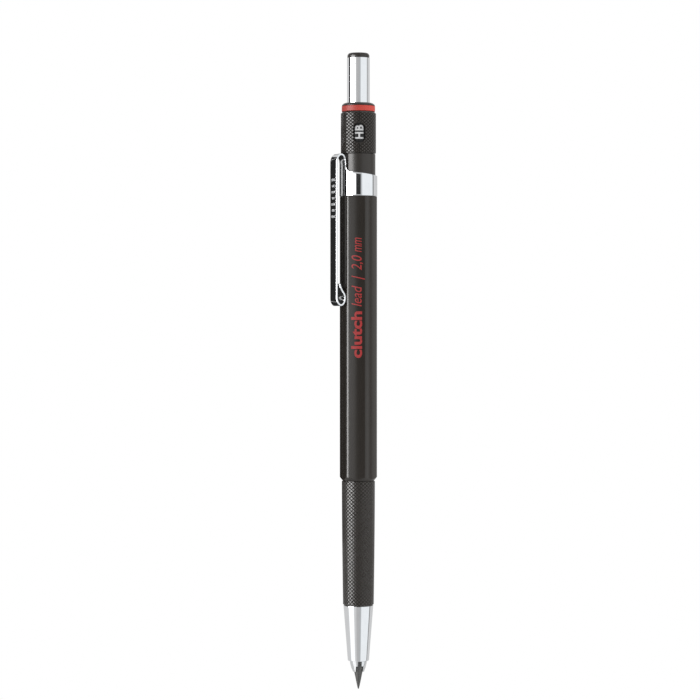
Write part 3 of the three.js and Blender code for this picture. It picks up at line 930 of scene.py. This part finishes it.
def make_pointer():
    """The insert that pushes on to the lead tube, with the pointer's cone and the slot for its blade."""
    z, top, r = low("button_insert").z, high("button_insert").z, radius("button_insert")
    outline = [
        (0, 137.0, 0),
        (0.15, 137.0, 0.04),
        (1.8, 133.0, 0.1),
        (1.8, z, 0.1),
        (r, z, 0.1),
        (r, top, 0.12),
        (0, top, 0),
    ]
    piece = to_object("pointer_body", turned(outline, sides=64), grey_plastic)
    blade_low, blade_high = low("pointer_blade"), high("pointer_blade")
    lean = math.atan((1.8 - 0.15) / 4)
    middle = Vector(((1.8 + 0.15) / 2, 0, 135.0))
    turn = Matrix.Translation(middle) @ Matrix.Rotation(-lean, 4, "Y")
    slot = bmesh.new()
    bmesh.ops.create_cube(slot, size=1.0)
    bmesh.ops.scale(slot, vec=(3.4, 2.1, 3.6), verts=slot.verts)
    bmesh.ops.translate(slot, vec=(1.6, 0, 0), verts=slot.verts)
    bmesh.ops.transform(slot, matrix=turn, verts=slot.verts)
    cut(piece, to_object("cutter", slot, grey_plastic))
    place(piece, "button", "insert_plastic", "button_insert")
    blade = bmesh.new()
    bmesh.ops.create_cube(blade, size=1.0)
    bmesh.ops.scale(blade, vec=(0.3, (blade_high - blade_low).y, 3.4), verts=blade.verts)
    for vert in blade.verts:
        if vert.co.y < 0 and vert.co.x > 0:
            vert.co.y += 0.45
    bmesh.ops.translate(blade, vec=(0.15, 0, 0), verts=blade.verts)
    bmesh.ops.bevel(blade, geom=blade.edges[:], offset=0.02, segments=1, affect="EDGES")
    bmesh.ops.transform(blade, matrix=turn, verts=blade.verts)
    place(to_object("pointer_knife", blade, blade_steel), "button", "blade_steel", "pointer_blade")


# ---------------------------------------------------------------- inside the barrel


def make_inside():
    """The turned pieces that only show when the pencil is taken apart."""
    z, top = low("collet_body").z, high("collet_body").z
    outline = [
        (1.08, z, 0.04),
        (1.75, z, 0.08),
        (1.75, 19.5, 0.06),
        (1.4, 19.5, 0),
        (1.4, top, 0.1),
        (1.08, top, 0.05),
    ]
    place(to_object("collet_root", turned(outline, 64), brass), "plunger", "collet_brass", "collet_body")
    z, top = low("front_bush").z, high("front_bush").z
    outline = [
        (2.45, z, 0.08),
        (2.85, z, 0.08),
        (2.85, top, 0.1),
        (1.9, top, 0.08),
        (1.9, 23.3, 0.04),
        (2.45, 23.3, 0),
    ]
    place(to_object("bush", turned(outline, 64), brass), "body", "bush_brass", "front_bush")
    z, top, r = low("tube_collar").z, high("tube_collar").z, radius("tube_collar")
    outline = [(1.8, z, 0.08), (r, z, 0.12), (r, top, 0.12), (1.8, top, 0.08)]
    place(to_object("spring_collar", turned(outline, 64), brass), "plunger", "collet_brass", "tube_collar")
    z, top = low("lead_tube").z, high("lead_tube").z
    outline = [(1.45, z, 0.06), (1.75, z, 0.08), (1.75, top, 0.1), (1.45, top, 0.06)]
    place(to_object("inner_tube", turned(outline, 64), dark_plastic), "plunger", "tube_plastic", "lead_tube")


def make_spring():
    """The return spring: an open coil with closed end turns."""
    z, top = low("return_spring").z, high("return_spring").z
    coil_r, wire = 2.2, 0.18
    turns, dead = 9.0, 1.0
    per_turn, sides = 40, 10
    count = int(turns * per_turn)
    free = top - z - 2 * wire - 4 * wire * dead

    def height(done):
        """The wire's height after that many turns."""
        if done < dead:
            return z + wire + 2 * wire * done
        if done > turns - dead:
            return top - wire - 2 * wire * (turns - done)
        t = (done - dead) / (turns - 2 * dead)
        return z + wire + 2 * wire * dead + free * t

    rings = []
    for i in range(count + 1):
        done = i / per_turn
        a = TURN * done
        ring = []
        for k in range(sides):
            b = TURN * k / sides
            ring.append(around(a, coil_r + wire * math.cos(b), height(done) + wire * math.sin(b)))
        rings.append(ring)
    rings.insert(0, [around(0, coil_r, height(0))])
    rings.append([around(TURN * turns, coil_r, height(turns))])
    piece = to_object("spring", loft(rings, closed=False), spring_wire)
    place(piece, "body", "spring_steel", "return_spring")
    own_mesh(piece)


# ---------------------------------------------------------------- print


def lettering(words, height, bold=0.0, slant=0.0, spacing=1.0, length=None):
    """A bmesh of words in the plain built-in typeface, in mm, as one flat layer, and its length. The height
    is a capital letter's."""
    curve = bpy.data.curves.new("words", "FONT")
    curve.body = words
    curve.offset = bold
    curve.shear = slant
    curve.space_character = spacing
    curve.resolution_u = 6
    holder = bpy.data.objects.new("words", curve)
    bpy.context.scene.collection.objects.link(holder)
    seen = holder.evaluated_get(bpy.context.evaluated_depsgraph_get())
    mesh = bpy.data.meshes.new_from_object(seen)
    bpy.data.objects.remove(holder)
    bm = bmesh.new()
    bm.from_mesh(mesh)
    bmesh.ops.remove_doubles(bm, verts=bm.verts, dist=1e-5)
    capital = 0.69  # the typeface's own capital height
    left = min(v.co.x for v in bm.verts)
    width = max(v.co.x for v in bm.verts) - left
    up = height / capital
    along = length / width if length else up
    bmesh.ops.translate(bm, vec=(-left, 0, 0), verts=bm.verts)
    bmesh.ops.scale(bm, vec=(along, up, up), verts=bm.verts)
    return bm, width * along


def printed(name, bm, surface, ink_material, thick=0.012):
    """Lays a flat layer of letters on a surface, as a thin closed skin. surface(x, y, lift) gives the point
    for a letter's x and y."""
    bmesh.ops.triangulate(bm, faces=bm.faces)
    long_edges = [e for e in bm.edges if e.calc_length() > 0.35]
    bmesh.ops.subdivide_edges(bm, edges=long_edges, cuts=3)
    bmesh.ops.triangulate(bm, faces=bm.faces)
    under = bm.faces[:]
    made = bmesh.ops.extrude_face_region(bm, geom=under)
    raised = {v for v in made["geom"] if isinstance(v, bmesh.types.BMVert)}
    for vert in bm.verts:
        x, y = vert.co.x, vert.co.y
        vert.co = surface(x, y, thick if vert in raised else 0.002)
    return to_object(name, bm, ink_material)


def make_barrel_print():
    """The red line of print up one facet of the barrel."""
    cap = 2.25
    facing = math.radians(PRINT_AT)
    out = Vector((math.cos(facing), math.sin(facing), 0))
    side = Vector((math.sin(facing), -math.cos(facing), 0))
    runs = [
        # name, words, start, end, bold, slant
        ("name", "clutch", 73.9, 84.2, 0.03, 0.0),
        ("use", "lead", 85.3, 89.9, 0.0, 0.25),
        ("bar", "|", 91.2, 92.1, 0.0, 0.25),
        ("size", "2,0", 93.3, 96.6, 0.0, 0.25),
        ("unit", "mm", 97.3, 100.5, 0.0, 0.25),
    ]
    for name, words, start, end, bold, slant in runs:
        bm, _ = lettering(words, cap, bold=bold, slant=slant, length=end - start)

        def on_facet(x, y, lift):
            across = y - cap / 2
            return out * (facet_lift(across) + lift) + side * across + Vector((0, 0, start + x))

        place(printed(f"print_{name}", bm, on_facet, red_ink), "body", "barrel_plastic")


def make_grades():
    """The lead grades round the scale, one to each eighth of a turn. HB shows in the window."""
    grades = ["HB", "F", "H", "2H", "3H", "4H", "2B", "B"]
    cap, middle = 1.75, 123.9
    squeeze = 0.92
    for i, grade in enumerate(grades):
        bm, width = lettering(grade, cap, bold=0.032, spacing=1.12)
        facing = math.radians(WINDOW_AT + 45 * i)

        def on_scale(x, y, lift):
            turn = facing - (y - cap / 2) / SCALE_R
            return around(turn, SCALE_R + lift, middle + (x - width / 2) * squeeze)

        place(printed(f"grade_{grade}", bm, on_scale, white_ink), "body", "scale_plastic")


# ---------------------------------------------------------------- stage, light and camera


def sector(tree, angle, start, end, soft):
    """1 where the angle, in degrees, lies between start and end, with soft edges."""
    values = []
    for edge, sign in ((start, 1), (end, -1)):
        node = tree.nodes.new("ShaderNodeMapRange")
        node.interpolation_type = "SMOOTHSTEP"
        node.inputs["From Min"].default_value = edge - soft / 2
        node.inputs["From Max"].default_value = edge + soft / 2
        node.inputs["To Min"].default_value = 0.0 if sign > 0 else 1.0
        node.inputs["To Max"].default_value = 1.0 if sign > 0 else 0.0
        tree.links.new(angle, node.inputs["Value"])
        values.append(node.outputs["Result"])
    both = tree.nodes.new("ShaderNodeMath")
    both.operation = "MULTIPLY"
    tree.links.new(values[0], both.inputs[0])
    tree.links.new(values[1], both.inputs[1])
    return both.outputs["Value"]


def studio_light():
    """A light tent round the pencil, made of soft-edged rectangles laid over each other, and a white
    backdrop that only the camera sees. Bearings are degrees round from the camera, to its right."""
    world = bpy.data.worlds.new("tent")
    bpy.context.scene.world = world
    world.use_nodes = True
    tree = world.node_tree
    tree.nodes.clear()

    def math_node(operation, a, b=None):
        node = tree.nodes.new("ShaderNodeMath")
        node.operation = operation
        for socket, value in zip(node.inputs, (a, b)):
            if value is None:
                continue
            if isinstance(value, (int, float)):
                socket.default_value = value
            else:
                tree.links.new(value, socket)
        return node.outputs["Value"]

    coords = tree.nodes.new("ShaderNodeTexCoord")
    turn = tree.nodes.new("ShaderNodeVectorRotate")
    turn.rotation_type = "Z_AXIS"
    turn.inputs["Angle"].default_value = -math.radians(CAMERA_AT)
    tree.links.new(coords.outputs["Generated"], turn.inputs["Vector"])
    parts = tree.nodes.new("ShaderNodeSeparateXYZ")
    tree.links.new(turn.outputs["Vector"], parts.inputs["Vector"])
    bearing = math_node("DEGREES", math_node("ARCTAN2", parts.outputs["Y"], parts.outputs["X"]))
    rise = math_node("DEGREES", math_node("ARCSINE", parts.outputs["Z"]))

    base_level = 0.62
    light = None
    layers = [
        # bearing from, to, softness; rise from, to, softness; brightness
        (-60, 30, 12, -90, 90, 1, 0.47),  # grey in front
        (-70, -18, 18, -90, 90, 1, 0.64),  # paler to its left
        (22, 97, 10, -60, 60, 20, 0.92),  # the pale right side
        (98, 106, 4, -60, 60, 20, 0.15),  # a dark strip past it
        (-111, -79, 3, -3, 60, 4, 0.01),  # a black flag past the left softbox
        (-84, -36, 4, -60, 60, 30, 0.62),  # round the left softbox
        (-84, -36, 4, -60, -7, 4, 1.1),  # below it
        (-40, -15.5, 3, -6, 4.3, 1.5, 1.3),  # a bright patch between it and the camera
        (-13, 14, 4, -4.5, 4.6, 1.0, 0.03),  # the camera's dark shape
    ]
    for b0, b1, b_soft, r0, r1, r_soft, brightness in layers:
        across = sector(tree, bearing, b0, b1, b_soft)
        inside = math_node("MULTIPLY", across, sector(tree, rise, r0, r1, r_soft))
        blend = tree.nodes.new("ShaderNodeMix")
        tree.links.new(inside, blend.inputs["Factor"])
        if light is None:
            blend.inputs["A"].default_value = base_level
        else:
            tree.links.new(light, blend.inputs["A"])
        blend.inputs["B"].default_value = brightness
        light = blend.outputs["Result"]

    tint = tree.nodes.new("ShaderNodeValToRGB")
    tint.color_ramp.elements[0].color = (1.0, 1.0, 1.0, 1)
    tint.color_ramp.elements[1].color = (0.95, 0.98, 1.0, 1)
    tree.links.new(sector(tree, bearing, 10, 100, 20), tint.inputs["Fac"])
    tent = tree.nodes.new("ShaderNodeBackground")
    tree.links.new(tint.outputs["Color"], tent.inputs["Color"])
    tree.links.new(light, tent.inputs["Strength"])
    backdrop = tree.nodes.new("ShaderNodeBackground")
    backdrop.inputs["Color"].default_value = (1, 1, 1, 1)
    rays = tree.nodes.new("ShaderNodeLightPath")
    pick = tree.nodes.new("ShaderNodeMixShader")
    out = tree.nodes.new("ShaderNodeOutputWorld")
    tree.links.new(rays.outputs["Is Camera Ray"], pick.inputs["Fac"])
    tree.links.new(tent.outputs["Background"], pick.inputs[1])
    tree.links.new(backdrop.outputs["Background"], pick.inputs[2])
    tree.links.new(pick.outputs["Shader"], out.inputs["Surface"])


def near_flags():
    """Two black flags close behind the clip, with a narrow gap, which the clip's faces mirror. Only
    reflections see them."""
    behind, foot, top = 22, 30, 127
    bm = bmesh.new()
    for left, right in ((-24, -13.55), (-13.2, 8)):
        corners = [(left, foot), (right, foot), (right, top), (left, top)]
        bm.faces.new([bm.verts.new((x, behind, z)) for x, z in corners])
    card = to_object("near_flags", bm, glowing("black_flag", 0.02))
    card.visible_camera = False
    card.visible_diffuse = False
    card.visible_shadow = False
    card.visible_transmission = False


def area_light(name, bearing, distance, middle, width, height, watts):
    """A panel that faces the pencil from that bearing round from the camera, with its middle at that height.
    Lengths are in metres."""
    data = bpy.data.lights.new(name, "AREA")
    data.shape = "RECTANGLE"
    data.size = width
    data.size_y = height
    data.energy = watts
    panel = bpy.data.objects.new(name, data)
    bpy.context.scene.collection.objects.link(panel)
    angle = math.radians(CAMERA_AT + bearing)
    away = Vector((math.cos(angle), math.sin(angle), 0)) * distance
    panel.location = away + Vector((0, 0, middle))
    panel.rotation_euler = (-away).to_track_quat("-Z", "Y").to_euler()
    panel.visible_camera = False
    return panel


def panels():
    """A bright softbox on the left that only reflections see, and a fill on the right that only the
    matt parts of a surface see, which together light the pencil evenly."""
    softbox = area_light("softbox", -60.5, 0.5, middle=0.1175, width=0.445, height=0.405, watts=4.7)
    softbox.visible_diffuse = False
    fill = area_light("fill", 80, 0.6, middle=0.07, width=0.5, height=0.5, watts=1.0)
    fill.visible_glossy = False


def floor():
    """A wide, evenly lit pale floor, well below the pencil."""
    bm = bmesh.new()
    bmesh.ops.create_circle(bm, cap_ends=True, segments=96, radius=4.0)
    bmesh.ops.translate(bm, vec=(0, 0, -0.25), verts=bm.verts)
    ground = to_object("floor", bm, glowing("pale_floor", 1), scale=1.0)
    ground.visible_glossy = False
    ground.visible_diffuse = False
    ground.visible_shadow = False


def camera():
    """The photograph's view: level with the barrel's upper half, half a metre away."""
    facing = math.radians(CAMERA_AT)
    back = Vector((math.cos(facing), math.sin(facing), 0))
    right = Vector((-math.sin(facing), math.cos(facing), 0))
    distance, eye, aim = 0.530, 0.083, 0.0756
    shift = right * -0.00187
    lens = bpy.data.cameras.new("camera")
    lens.lens = 122.4
    lens.sensor_width = 36
    lens.clip_start = 0.01
    lens.clip_end = 20
    view = bpy.data.objects.new("camera", lens)
    bpy.context.scene.collection.objects.link(view)
    view.location = back * distance + shift + Vector((0, 0, eye))
    target = shift + Vector((0, 0, aim))
    view.rotation_euler = (target - view.location).to_track_quat("-Z", "Y").to_euler()
    bpy.context.scene.camera = view
    bpy.context.scene.view_settings.view_transform = "Standard"


camera()
studio_light()
panels()
near_flags()
floor()
make_lead()
for jaw in range(3):
    make_jaw(jaw)
make_nose()
make_grip()
make_barrel()
make_barrel_print()
make_neck()
make_clip()
make_clip_marks()
make_scale()
make_grades()
make_grade_sleeve()
make_ring()
make_end_collar()
make_button()
make_pointer()
make_inside()
make_spring()
